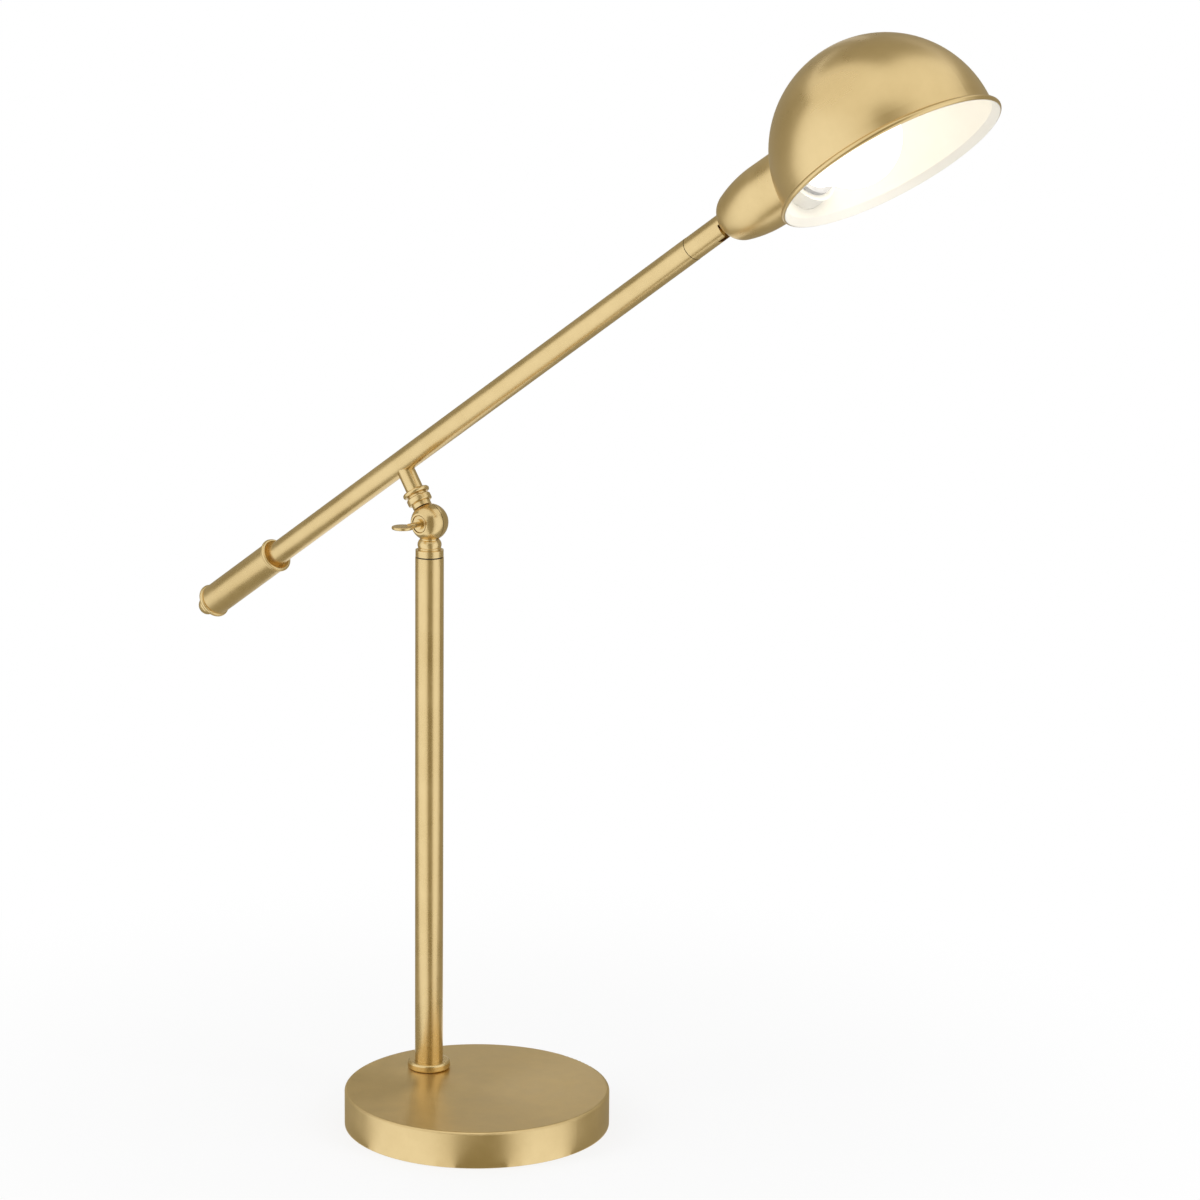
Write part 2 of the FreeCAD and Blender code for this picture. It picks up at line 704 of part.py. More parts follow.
def make_boom():
    low = "(-weight_top - weight_length + weight_end_gap)"
    tube = ring("BoomTube", "boom", BOOM_R, BOOM_BORE, low, "boom_seam")
    hole = rod("BoomHole", "stem", NIPPLE_R, "boom_height")
    node(cut("BoomDrilled", tube, hole), "boom")
    insert = disc("BoomInsertBar", "boom", BOOM_BORE, "-insert_length / 2", "insert_length / 2")
    tapped = rod("BoomInsertHole", "stem", NIPPLE_R, NIPPLE_TOP)
    wire_way = rod("BoomInsertWay", "boom", "nipple_bore / 2", "insert_length")
    node(cut("BoomInsert", insert, fuse("BoomInsertHoles", tapped, wire_way)), "boom_insert")


def make_counterweight():
    top = "(-weight_top)"
    low = "(-weight_top - weight_length)"
    body = "weight_diameter / 2"
    lip = "lip_diameter / 2"
    bore = f"({BOOM_R} + fit_clearance)"
    node(turned("WeightSleeve", "boom", [
        (bore, f"{low} + 2 * lip_radius"),
        ("finial_thread_diameter / 2", f"{low} + 2 * lip_radius"),
        ("finial_thread_diameter / 2", low),
        (f"{lip} - lip_radius", low),
        (f"{lip} - lip_radius", f"{low} + 2 * lip_radius", "lip_radius"),
        (body, f"{low} + 2 * lip_radius + lip_neck"),
        (body, f"{top} - 2 * lip_radius - lip_neck"),
        (f"{lip} - lip_radius", f"{top} - 2 * lip_radius"),
        (f"{lip} - lip_radius", top, "lip_radius"),
        ("lip_recess_diameter / 2", top),
        (bore, f"{top} - lip_recess_depth", "-lip_recess_bend")]), "counterweight_sleeve")

    slug_low = f"({low} + weight_end_gap)"
    slug_top = f"({top} - slug_top_gap)"
    thread = "finial_thread_diameter / 2"
    node(turned("WeightSlug", "boom", [
        (thread, slug_low),
        (BOOM_BORE, slug_low),
        (BOOM_BORE, slug_top),
        ("0", slug_top),
        ("0", f"{low} + finial_thread_length"),
        (thread, f"{low} + finial_thread_length")]), "counterweight_slug")

    button = "finial_diameter / 2"
    button_low = f"({low} - finial_reach + {button})"
    node(turned("Finial", "boom", [
        ("0", f"{low} + finial_thread_length"),
        ("0", f"{button_low} - {button}"),
        (button, button_low, button),
        ("finial_seat_diameter / 2", low),
        (thread, low),
        (thread, f"{low} + finial_thread_length")]), "counterweight_finial")


def make_boom_end():
    post = "swivel_post_diameter / 2"
    way = "swivel_post_bore / 2"
    bush_top = "(boom_seam + seam_gap + swivel_bush_length)"
    post_top = f"({bush_top} + retainer_thickness)"
    node(turned("BoomPlug", "boom", [
        (way, "boom_seam - plug_length"),
        (BOOM_BORE, "boom_seam - plug_length"),
        (BOOM_BORE, "boom_seam"),
        (post, "boom_seam"),
        (post, post_top),
        (way, post_top)]), "boom_plug")
    node(ring("SwivelRetainer", "boom", "retainer_diameter / 2", post, bush_top, post_top),
         "swivel_retainer")


# ---------------------------------------------------------------- swivel stub at the boom's outer end
CUP_R = "cup_diameter / 2"
# The nose and the flare of the cup are two arcs that meet in line. Between their centres:
BENDS_APART = "(cup_flare_bend - cup_nose_bend)"
BENDS_RISE = "(cup_flare_length - cup_nose_bend)"
BENDS_RUN = f"sqrt({BENDS_APART}^2 - {BENDS_RISE}^2)"
NOSE_FLAT = f"({CUP_R} - cup_flare_bend + {BENDS_RUN})"
PIN_R = "hinge_pin_diameter / 2"
STUB_R = "stub_diameter / 2"
STUB_END = f"({HINGE_ALONG} + cup_gap + cup_nose_bend)"
SLOT_FLOOR = "(boom_seam + slot_floor)"


def make_stub():
    bush = "(swivel_post_diameter / 2 + fit_clearance)"
    bush_top = "(boom_seam + seam_gap + swivel_bush_length)"
    inner = "stub_bore / 2"
    body = turned("StubTurned", "boom", [
        (bush, "boom_seam + seam_gap"),
        (STUB_R, "boom_seam + seam_gap"),
        (STUB_R, STUB_END),
        ("0", STUB_END),
        ("0", SLOT_FLOOR),
        (inner, SLOT_FLOOR),
        (inner, bush_top),
        (bush, bush_top)])
    eye_room = rod("StubEyeRoom", "tilt", "tongue_radius + tongue_clearance", "slot_width",
                   ("0", "0", "-slot_width / 2"))
    # The neck of the tongue swings down through the underside, close to the end.
    reach = "(tongue_neck_radius + tongue_clearance)"
    ways = [block(name, frame, f"2 * {reach}", f"2 * {reach}", "cup_gap + cup_nose_bend",
                  (f"-{reach}", f"-{reach}", "0"))
            for name, frame in (("StubWay", "head"), ("StubWayHalf", "half_lowered"),
                                ("StubWayLow", "lowered"))]
    # The end follows the nose of the cup. Below the hinge it is rounded about the hinge instead, so
    # that the nose swings past it.
    nose_room = turned("StubNoseRoom", "head", [
        ("0", "cup_gap - stub_end_gap"),
        (NOSE_FLAT, "cup_gap - stub_end_gap"),
        (f"{NOSE_FLAT} + cup_nose_bend + stub_end_gap", "cup_gap + cup_nose_bend",
         "cup_nose_bend + stub_end_gap"),
        ("0", "cup_gap + cup_nose_bend")])
    swing = rod("StubSwing", "tilt", "cup_gap - stub_end_gap", "stub_diameter * 2",
                ("0", "0", "-stub_diameter"))
    below = block("StubBelow", "boom", "stub_diameter", "stub_diameter * 2", "cup_gap + cup_nose_bend",
                  ("0", "-stub_diameter", HINGE_ALONG))
    pin_hole = rod("StubPinHole", "tilt", PIN_R, "stub_diameter * 2", ("0", "0", "-stub_diameter"))
    cuts = fuse("StubCuts", eye_room, *ways, nose_room, cut("StubBelowSwing", below, swing), pin_hole)
    node(cut("StubCut", body, cuts), "swivel_stub")
    pin = rod("HingePinBar", "tilt", PIN_R, "stub_diameter * 2", ("0", "0", "-stub_diameter"))
    flush = rod("HingePinFlush", "boom", STUB_R, STUB_END)
    node(common("HingePin", pin, flush), "head_hinge_pin")


# ---------------------------------------------------------------- socket cup and lampholder
CUP_BORE = "(cup_diameter / 2 - cup_wall)"
NOSE = "cup_gap"
FLARE_TOP = "(cup_gap + cup_flare_length)"
# The nut's corners rest on the round inside of the nose, this high over its floor.
NOSE_BORE = "(cup_nose_bend - cup_wall)"
NUT_REACH = f"(cup_nut_width / sqrt(3) - {NOSE_FLAT})"
NUT_LOW = f"({NOSE} + cup_wall + {NOSE_BORE} - sqrt({NOSE_BORE}^2 - {NUT_REACH}^2) + fit_clearance)"
HOLDER_R = f"({CUP_BORE} - holder_clearance)"
HOLDER_BORE = "(shell_diameter / 2 + shell_wall)"
BULB_TOP = "(bulb_centre - bulb_seat)"
BULB_LOW = f"({BULB_TOP} - cap_length)"
CONTACT_LOW = f"({BULB_LOW} - eyelet_height - contact_height)"
HOLDER_LOW = f"({CONTACT_LOW} - holder_floor)"


def make_head_knuckle():
    tongue = rod("TongueEye", "tilt", "tongue_radius", "tongue_width", ("0", "0", "-tongue_width / 2"))
    arm = block("TongueArm", "head", "2 * tongue_neck_radius", "tongue_width", "cup_gap",
                ("-tongue_neck_radius", "-tongue_width / 2", "0"))
    slim = rod("TongueSlim", "head", "tongue_neck_radius", "cup_gap")
    shank = rod("TongueShank", "head", "tongue_shank_diameter / 2",
                f"{NUT_LOW} - {NOSE} + cup_nut_thickness + tongue_shank_spare", ("0", "0", NOSE))
    eye = rod("TongueHole", "tilt", f"{PIN_R} + fit_clearance", "boom_diameter", ("0", "0", f"-{BOOM_R}"))
    body = fuse("TongueBody", tongue, common("TongueWaist", arm, slim), shank)
    node(cut("HeadKnuckle", body, eye), "head_knuckle")


def dome_outline(radius, top, wall):
    """Dome with a rolled rim, as radius and height over the rim plane."""
    rolled = "rim_roll_radius"
    edge = "(rim_diameter / 2 - rim_roll_radius)"
    return [
        ("0", f"{top} - {wall}"),
        (f"{radius} - {wall}", "shade_skirt", f"-({radius} - {wall})"),
        (f"{radius} - {wall}", f"2 * {rolled} + {wall}"),
        (f"{edge}", "0"),
        (f"{edge}", f"2 * {rolled}", rolled),
        (radius, f"2 * {rolled} + {wall}"),
        (radius, "shade_skirt"),
        ("0", top, radius)]


DOME_TOP = "(shade_radius + shade_skirt)"


def dome_solid(name, radius):
    """The whole room under a dome of this radius, down to well below the rim."""
    return fuse(name, ball(name + "Ball", "shade", radius, ("0", "0", "shade_skirt")),
                rod(name + "Skirt", "shade", radius, "shade_skirt * 3", ("0", "0", "-shade_skirt * 2")))


def make_cup():
    def meeting(bend):
        """Where nose and flare meet on the surface whose flare has this radius."""
        return (f"({CUP_R} - cup_flare_bend + {bend} * {BENDS_RUN} / {BENDS_APART})",
                f"({FLARE_TOP} - {bend} * {BENDS_RISE} / {BENDS_APART})")

    inner_bend = "(cup_flare_bend - cup_wall)"
    shell = turned("CupShell", "head", [
        ("0", NOSE),
        (NOSE_FLAT, NOSE),
        (*meeting("cup_flare_bend"), "cup_nose_bend"),
        (CUP_R, FLARE_TOP, "cup_flare_bend"),
        (CUP_R, "shade_along"),
        (CUP_BORE, "shade_along"),
        (CUP_BORE, FLARE_TOP),
        (*meeting(inner_bend), f"-{inner_bend}"),
        (NOSE_FLAT, f"{NOSE} + cup_wall", f"-{NOSE_BORE}"),
        ("0", f"{NOSE} + cup_wall")])
    hole = rod("CupHole", "head", "tongue_shank_diameter / 2", FLARE_TOP)
    trim = fuse("CupTrim", dome_solid("DomeOutside", "shade_radius"), hole)
    node(cut("CupTrimmed", shell, trim), "socket_cup")
    nut = hexagon("CupNutBlank", "head", "cup_nut_width", "cup_nut_thickness", ("0", "0", NUT_LOW))
    tap = rod("CupNutHole", "head", "tongue_shank_diameter / 2", FLARE_TOP)
    node(cut("CupNut", nut, tap), "cup_nut")


def make_holder():
    body = turned("HolderTurned", "head", [
        ("0", HOLDER_LOW),
        (HOLDER_R, HOLDER_LOW),
        (HOLDER_R, "holder_end"),
        (HOLDER_BORE, "holder_end"),
        (HOLDER_BORE, CONTACT_LOW),
        ("0", CONTACT_LOW)])
    node(body, "lampholder")
    shell_r = "shell_diameter / 2"
    shell_top = "holder_end - shell_setback"
    node(turned("ShellTurned", "head", [
        ("contact_width", CONTACT_LOW),
        (HOLDER_BORE, CONTACT_LOW),
        (HOLDER_BORE, shell_top),
        (shell_r, shell_top),
        (shell_r, f"{CONTACT_LOW} + shell_wall"),
        ("contact_width", f"{CONTACT_LOW} + shell_wall")]), "screw_shell")
    node(block("CentreContact", "head", "contact_width", "contact_width", "contact_height",
               ("-contact_width / 2", "-contact_width / 2", CONTACT_LOW)), "centre_contact")
    screws = [rod("TerminalScrew%d" % i, "head", "terminal_screw_diameter / 2", "terminal_screw_length",
                  ("0", f"{side} * terminal_screw_spacing / 2", f"{HOLDER_LOW} - terminal_screw_length"))
              for i, side in enumerate((-1, 1))]
    pair = doc.addObject("Part::Compound", "TerminalScrews")
    pair.Links = screws
    node(pair, "terminal_screws")


def make_bulb():
    cap_r = "cap_diameter / 2"
    cap_bore = f"({cap_r} - cap_wall)"
    cap_floor = f"({BULB_LOW} + eyelet_height)"
    eyelet_r = "eyelet_diameter / 2"
    bulb_r = "bulb_diameter / 2"
    neck = "bulb_neck_diameter / 2"
    inner = f"({bulb_r} - bulb_wall)"
    # The neck runs out to the round of the bulb where the bulb is this wide.
    shoulder = "bulb_shoulder_diameter / 2"
    swell = f"(bulb_centre - sqrt(({bulb_r})^2 - ({shoulder})^2))"
    inner_shoulder = f"({shoulder} * {inner} / ({bulb_r}))"
    inner_swell = f"(bulb_centre - ({bulb_r} - bulb_wall) * (bulb_centre - {swell}) / ({bulb_r}))"
    node(turned("BulbGlass", "head", [
        (f"{neck} - bulb_wall", BULB_TOP),
        (neck, BULB_TOP),
        (shoulder, swell),
        (bulb_r, "bulb_centre", bulb_r),
        ("0", f"bulb_centre + {bulb_r}", bulb_r),
        ("0", f"bulb_centre + {inner}"),
        (inner, "bulb_centre", f"-{inner}"),
        (inner_shoulder, inner_swell, f"-{inner}")]), "bulb_glass")
    node(turned("BulbCap", "head", [
        (eyelet_r, BULB_LOW),
        (cap_r, cap_floor),
        (cap_r, BULB_TOP),
        (cap_bore, BULB_TOP),
        (cap_bore, f"{cap_floor} + cap_wall"),
        (eyelet_r, f"{BULB_LOW} + cap_wall")]), "bulb_cap")
    node(disc("BulbEyelet", "head", eyelet_r, f"{BULB_LOW} - eyelet_height", f"{BULB_LOW} + cap_wall"),
         "bulb_eyelet")


# ---------------------------------------------------------------- shade
def make_shade():
    shell = turned("ShadeShell", "shade", dome_outline("shade_radius", DOME_TOP, "shade_wall"))
    hole = rod("ShadeHole", "head", f"{HOLDER_R} + holder_clearance", "shade_along")
    node(cut("ShadeDrilled", shell, hole), "shade")
    collar = ring("ShadeRingBlank", "head", "shade_ring_diameter / 2", HOLDER_R,
                  "holder_end - shade_ring_reach", "holder_end - shade_ring_setback")
    inside = dome_solid("DomeInside", "(shade_radius - shade_wall)")
    node(common("ShadeRing", collar, inside), "shade_ring")


make_base()
make_pole()
make_swivel()
make_key()
make_upper_knuckle()
make_stem()
make_boom()
make_counterweight()
make_boom_end()
make_stub()
make_head_knuckle()
make_cup()
make_holder()
make_bulb()
make_shade()
doc.recompute()

for obj in doc.Objects:
    if "Invalid" in obj.State or "Error" in obj.State:
        raise RuntimeError(f"{obj.Name} did not build: {obj.State}")
for obj in NODES:
    if obj.Shape.isNull() or not obj.Shape.isValid() or obj.Shape.Volume <= 0:
        raise RuntimeError(f"{obj.Label} has no valid solid")

os.makedirs("parts", exist_ok=True)
for obj in NODES:
    obj.Shape.exportStep(f"parts/{obj.Label}.step")
    box = obj.Shape.BoundBox
    print(f"{obj.Label:22s} solids {len(obj.Shape.Solids)} volume {obj.Shape.Volume:10.1f}"
          f" x {box.XMin:7.1f} {box.XMax:7.1f} y {box.YMin:6.1f} {box.YMax:6.1f}"
          f" z {box.ZMin:6.1f} {box.ZMax:6.1f}")
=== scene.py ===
import math

import bpy
from mathutils import Matrix, Vector

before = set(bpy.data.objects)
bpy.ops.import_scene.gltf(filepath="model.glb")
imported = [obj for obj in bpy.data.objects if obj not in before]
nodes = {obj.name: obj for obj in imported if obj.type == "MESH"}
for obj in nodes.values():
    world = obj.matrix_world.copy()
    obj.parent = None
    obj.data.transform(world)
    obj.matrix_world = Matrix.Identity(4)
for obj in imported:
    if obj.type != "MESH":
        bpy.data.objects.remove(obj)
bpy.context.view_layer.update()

# ---------------------------------------------------------------- the lamp's own frames, in metres
BOOM_ELEVATION = math.radians(34.0)
HEAD_ELEVATION = math.radians(32.6)
SHADE_LEAN = math.radians(36.2)
CENTRE = Vector((0.0, 0.0, 0.0))
POLE_FOOT = Vector((-0.05137, 0.00740, 0.0))
BALL = Vector((-0.05137, 0.00740, 0.4044))
BOOM_FOOT = Vector((-0.07631, 0.00740, 0.44137))
HINGE = Vector((0.18335, 0.00740, 0.61651))
SHADE_RIM = Vector((0.32098, 0.00740, 0.67155))
SHADE_RADIUS = 0.0685
SHADE_SKIRT = 0.0103
SHADE_FLARE_TOP = 0.0046
SHADE_FLARE_SLOPE = 0.63
HALF_WALL = 0.0005

UP = (0.0, 0.0, 1.0)
SIDE = (0.0, -1.0, 0.0)
BOOM_DIR = (math.cos(BOOM_ELEVATION), 0.0, math.sin(BOOM_ELEVATION))
STEM_DIR = (-math.sin(BOOM_ELEVATION), 0.0, math.cos(BOOM_ELEVATION))
HEAD_DIR = (math.cos(HEAD_ELEVATION), 0.0, math.sin(HEAD_ELEVATION))
SHADE_DIR = (-math.sin(SHADE_LEAN), 0.0, math.cos(SHADE_LEAN))

# ---------------------------------------------------------------- shader helpers
# Nearly all of a noise texture's values lie between these two.
NOISE_LOW = 0.3
NOISE_HIGH = 0.7


class Nodes:
    """A material's node tree, with short calls for the nodes used here."""

    def __init__(self, name):
        self.material = bpy.data.materials.new(name)
        self.material.use_nodes = True
        self.tree = self.material.node_tree
        self.shader = self.tree.nodes["Principled BSDF"]
        self.surface = self.tree.nodes["Material Output"].inputs["Surface"]

    def add(self, kind, **settings):
        item = self.tree.nodes.new(kind)
        for key, value in settings.items():
            setattr(item, key, value)
        return item

    def link(self, source, target):
        self.tree.links.new(source, target)

    def feed(self, socket, value):
        """Give a socket a plain value or another node's output."""
        if isinstance(value, (int, float, tuple)):
            socket.default_value = value
        else:
            self.link(value, socket)

    def math(self, operation, first, second=0.0):
        item = self.add("ShaderNodeMath", operation=operation)
        self.feed(item.inputs[0], first)
        self.feed(item.inputs[1], second)
        return item.outputs[0]

    def squares(self, *values):
        """The sum of the values' squares."""
        total = self.math("POWER", values[0], 2.0)
        for value in values[1:]:
            total = self.math("ADD", total, self.math("POWER", value, 2.0))
        return total

    def mix(self, factor, low, high, kind="RGBA"):
        """A colour between two, or with kind FLOAT a number between two."""
        item = self.add("ShaderNodeMix", data_type=kind)
        self.link(factor, item.inputs["Factor"])
        self.feed(item.inputs["A"], low)
        self.feed(item.inputs["B"], high)
        return item.outputs["Result"]

    def local(self, origin, axis):
        """Coordinates fixed to the piece, with Z along its axis."""
        coordinates = self.add("ShaderNodeTexCoord").outputs["Object"]
        shift = self.add("ShaderNodeVectorMath", operation="SUBTRACT")
        self.link(coordinates, shift.inputs[0])
        shift.inputs[1].default_value = origin
        turn = Vector(axis).to_track_quat("Z", "Y").to_matrix().inverted()
        rotate = self.add("ShaderNodeMapping", vector_type="POINT")
        rotate.inputs["Rotation"].default_value = turn.to_euler("XYZ")
        self.link(shift.outputs[0], rotate.inputs["Vector"])
        return rotate.outputs["Vector"]

    def parts(self, vector):
        """The X, Y and Z of a vector."""
        item = self.add("ShaderNodeSeparateXYZ")
        self.link(vector, item.inputs[0])
        return [item.outputs[axis] for axis in "XYZ"]

    def stretched(self, vector, scale):
        item = self.add("ShaderNodeVectorMath", operation="MULTIPLY")
        self.link(vector, item.inputs[0])
        item.inputs[1].default_value = scale
        return item.outputs[0]

    def noise(self, vector, scale, detail, roughness):
        item = self.add("ShaderNodeTexNoise")
        item.inputs["Scale"].default_value = scale
        item.inputs["Detail"].default_value = detail
        item.inputs["Roughness"].default_value = roughness
        self.link(vector, item.inputs["Vector"])
        return item.outputs["Fac"]

    def spread(self, value, low, high):
        """A noise value spread between two numbers."""
        item = self.add("ShaderNodeMapRange", clamp=True)
        self.link(value, item.inputs["Value"])
        item.inputs["From Min"].default_value = NOISE_LOW
        item.inputs["From Max"].default_value = NOISE_HIGH
        item.inputs["To Min"].default_value = low
        item.inputs["To Max"].default_value = high
        return item.outputs[0]

    def bump(self, height, strength, distance):
        item = self.add("ShaderNodeBump")
        item.inputs["Strength"].default_value = strength
        item.inputs["Distance"].default_value = distance
        self.link(height, item.inputs["Height"])
        return item.outputs["Normal"]

    def glow(self, color):
        """A surface that shows one colour in any light."""
        item = self.add("ShaderNodeEmission")
        item.inputs["Color"].default_value = color
        return item.outputs[0]

    def set(self, **values):
        """Feed the main shader's sockets, named with underscores for spaces."""
        for key, value in values.items():
            self.feed(self.shader.inputs[key.replace("_", " ")], value)


# ---------------------------------------------------------------- brass
BRASS_DARK = (0.70, 0.52, 0.245, 1.0)
BRASS_LIGHT = (0.79, 0.60, 0.295, 1.0)
# Brush lines: their fineness across and along the brushing, per metre, the detail and roughness
# of their noise, how far they sway the gloss, and the strength and depth of their bump.
GRAIN_FINE = 900.0
GRAIN_LONG = 18.0
GRAIN_NOISE = (2.0, 0.55)
GRAIN_SWAY = 0.015
GRAIN_BUMP = (0.05, 0.00003)
# The soft mottling of a satin finish.
CLOUD_SCALE = 38.0
CLOUD_NOISE = (4.0, 0.6)
# The roughness of each finish, from its glossiest to its dullest spots.
TUBE_ROUGH = (0.24, 0.33)
TURNED_ROUGH = (0.22, 0.30)
HEAD_ROUGH = (0.26, 0.36)
BASE_ROUGH = (0.30, 0.38)
BASE_ANISOTROPY = 0.7


def brush_lines(make, vector):
    return make.noise(vector, 1.0, *GRAIN_NOISE)


def lines_along(make, local):
    """Brush lines that run along Z."""
    return brush_lines(make, make.stretched(local, (GRAIN_FINE, GRAIN_FINE, GRAIN_LONG)))


def lines_around(make, local):
    """Brush lines that run in circles about Z."""
    x, y, z = make.parts(local)
    distance = make.math("SQRT", make.squares(x, y))
    combined = make.add("ShaderNodeCombineXYZ")
    make.link(make.math("MULTIPLY", distance, GRAIN_FINE), combined.inputs["X"])
    make.link(make.math("MULTIPLY", z, GRAIN_FINE), combined.inputs["Y"])
    make.link(make.math("MULTIPLY", x, GRAIN_LONG), combined.inputs["Z"])
    return brush_lines(make, combined.outputs[0])


def brass_color(make, clouds):
    return make.mix(make.spread(clouds, 0.0, 1.0), BRASS_DARK, BRASS_LIGHT)


def satin(make, clouds, lines, rough, sway):
    """The roughness of a brushed finish."""
    return make.math("ADD", make.spread(clouds, *rough), make.spread(lines, -sway, sway))


def brass(name, origin, axis, brushed, rough=TUBE_ROUGH, anisotropy=0.0):
    """Satin brass with fine brush lines along or around the piece's axis."""
    make = Nodes(name)
    local = make.local(origin, axis)
    lines = brushed(make, local)
    clouds = make.noise(local, CLOUD_SCALE, *CLOUD_NOISE)
    make.set(Base_Color=brass_color(make, clouds), Metallic=1.0,
             Roughness=satin(make, clouds, lines, rough, GRAIN_SWAY),
             Normal=make.bump(lines, *GRAIN_BUMP))
    if anisotropy:
        tangent = make.add("ShaderNodeTangent", direction_type="RADIAL", axis="Z")
        make.set(Anisotropic=anisotropy, Tangent=tangent.outputs[0])
    return make.material


# ---------------------------------------------------------------- shade
ENAMEL_DARK = (0.84, 0.81, 0.735, 1.0)
ENAMEL_LIGHT = (0.88, 0.855, 0.79, 1.0)
ENAMEL_SCALE = 22.0
INSIDE_ROUGH = 0.35
SHADE_ROUGH = (0.26, 0.34)
SHADE_GRAIN = (60.0, 60.0, GRAIN_FINE)
SHADE_GRAIN_SWAY = 0.008
SHADE_GRAIN_BUMP = (0.015, 0.00002)


def shade_material():
    """Brass outside and white enamel inside, parted at the middle of the wall."""
    make = Nodes("shade_brass_and_enamel")
    local = make.local(SHADE_RIM, SHADE_DIR)
    x, y, z = make.parts(local)
    # How far out a point lies: measured from the dome's centre above the skirt and from the axis
    # along the skirt, with the slope of the flare taken off near the rim.
    above = make.math("MAXIMUM", make.math("SUBTRACT", z, SHADE_SKIRT), 0.0)
    flare = make.math("MAXIMUM", make.math("SUBTRACT", SHADE_FLARE_TOP, z), 0.0)
    reach = make.math("SUBTRACT", make.math("SQRT", make.squares(x, y, above)),
                      make.math("MULTIPLY", flare, SHADE_FLARE_SLOPE))
    outside = make.math("GREATER_THAN", reach, SHADE_RADIUS - HALF_WALL)
    clouds = make.noise(local, ENAMEL_SCALE, *CLOUD_NOISE)
    lines = brush_lines(make, make.stretched(local, SHADE_GRAIN))
    inside_color = make.mix(make.spread(clouds, 0.0, 1.0), ENAMEL_DARK, ENAMEL_LIGHT)
    outside_rough = satin(make, clouds, lines, SHADE_ROUGH, SHADE_GRAIN_SWAY)
    make.set(Base_Color=make.mix(outside, inside_color, brass_color(make, clouds)),
             Metallic=outside,
             Roughness=make.mix(outside, INSIDE_ROUGH, outside_rough, "FLOAT"),
             Normal=make.bump(make.math("MULTIPLY", lines, outside), *SHADE_GRAIN_BUMP))
    return make.material


# ---------------------------------------------------------------- other materials
PLAIN_NOISE = (5.0, 0.6)
PLAIN_DEPTH = 0.0002


def plain(name, dark, light, scale, rough, metallic=0.0, bump=0.1, **more):
    """A dull or glossy solid colour with fine mottling and grain."""
    make = Nodes(name)
    mottle = make.noise(make.local(CENTRE, UP), scale, *PLAIN_NOISE)
    make.set(Base_Color=make.mix(make.spread(mottle, 0.0, 1.0), dark, light), Metallic=metallic,
             Roughness=make.spread(mottle, *rough),
             Normal=make.bump(mottle, bump, PLAIN_DEPTH), **more)
    return make.material


pole_brass = brass("brass_pole", POLE_FOOT, UP, lines_along)
pole_turned = brass("brass_pole_turned", POLE_FOOT, UP, lines_around)
base_brass = brass("brass_base", CENTRE, UP, lines_around, BASE_ROUGH, BASE_ANISOTROPY)
ball_brass = brass("brass_ball", BALL, SIDE, lines_around, TURNED_ROUGH)
stem_brass = brass("brass_stem", BALL, STEM_DIR, lines_around, TURNED_ROUGH)
boom_brass = brass("brass_boom", BOOM_FOOT, BOOM_DIR, lines_along)
boom_turned = brass("brass_boom_turned", BOOM_FOOT, BOOM_DIR, lines_around)
head_brass = brass("brass_head", HINGE, HEAD_DIR, lines_around, HEAD_ROUGH)
shade_skin = shade_material()

iron = plain("cast_iron", (0.03, 0.03, 0.032, 1.0), (0.06, 0.06, 0.062, 1.0),
             300.0, (0.55, 0.75), metallic=0.6, bump=0.3)
felt = plain("felt", (0.018, 0.018, 0.02, 1.0), (0.05, 0.05, 0.052, 1.0),
             1500.0, (0.9, 1.0), bump=0.6)
steel = plain("zinc_steel", (0.42, 0.42, 0.43, 1.0), (0.6, 0.6, 0.6, 1.0),
              400.0, (0.25, 0.4), metallic=1.0)
fibre = plain("dark_fibre", (0.02, 0.017, 0.015, 1.0), (0.045, 0.04, 0.035, 1.0),
              900.0, (0.5, 0.65))
# The lampholder is white; this mid grey is painted shade, darker than its own white, for how it
# looks deep inside the shade.
porcelain = plain("porcelain", (0.40, 0.40, 0.41, 1.0), (0.50, 0.50, 0.50, 1.0),
                  60.0, (0.12, 0.2), bump=0.02)
enamel = plain("white_enamel", ENAMEL_DARK, ENAMEL_LIGHT, ENAMEL_SCALE, (0.3, 0.4), bump=0.02)
aluminium = plain("aluminium", (0.6, 0.6, 0.61, 1.0), (0.72, 0.72, 0.72, 1.0),
                  500.0, (0.3, 0.4), metallic=1.0)
glass = plain("frosted_glass", (0.92, 0.91, 0.88, 1.0), (0.96, 0.95, 0.92, 1.0),
              800.0, (0.4, 0.55), bump=0.05,
              Emission_Color=(1.0, 0.95, 0.86, 1.0), Emission_Strength=1.7)

MATERIALS = {
    base_brass: ("base_cover",),
    pole_turned: ("foot_collar", "pole_cap"),
    pole_brass: ("pole",),
    ball_brass: ("lower_knuckle", "clamp_key", "key_washer"),
    stem_brass: ("upper_knuckle", "stem"),
    boom_brass: ("boom", "counterweight_sleeve"),
    boom_turned: ("counterweight_finial", "boom_insert", "boom_plug", "swivel_stub"),
    head_brass: ("head_hinge_pin", "head_knuckle", "socket_cup", "screw_shell", "centre_contact",
                 "bulb_eyelet"),
    shade_skin: ("shade",),
    enamel: ("shade_ring",),
    iron: ("base_weight",),
    felt: ("base_pad",),
    steel: ("tie_rod", "tie_washer", "tie_nut", "swivel_screw", "stem_nipple", "counterweight_slug",
            "swivel_retainer", "cup_nut", "terminal_screws"),
    fibre: ("cord_bushing", "swivel_disc", "knuckle_disc"),
    porcelain: ("lampholder",),
    aluminium: ("bulb_cap",),
    glass: ("bulb_glass",),
}
for material, names in MATERIALS.items():
    for name in names:
        slots = nodes[name].data.materials
        slots.clear()
        slots.append(material)

# ---------------------------------------------------------------- floor and world
WHITE = (1.0, 1.0, 1.0, 1.0)
PAPER = (0.86, 0.86, 0.86, 1.0)
PAPER_ROUGH = 0.9
PAPER_SHINE = 0.1
FLOOR_SIZE = 30.0
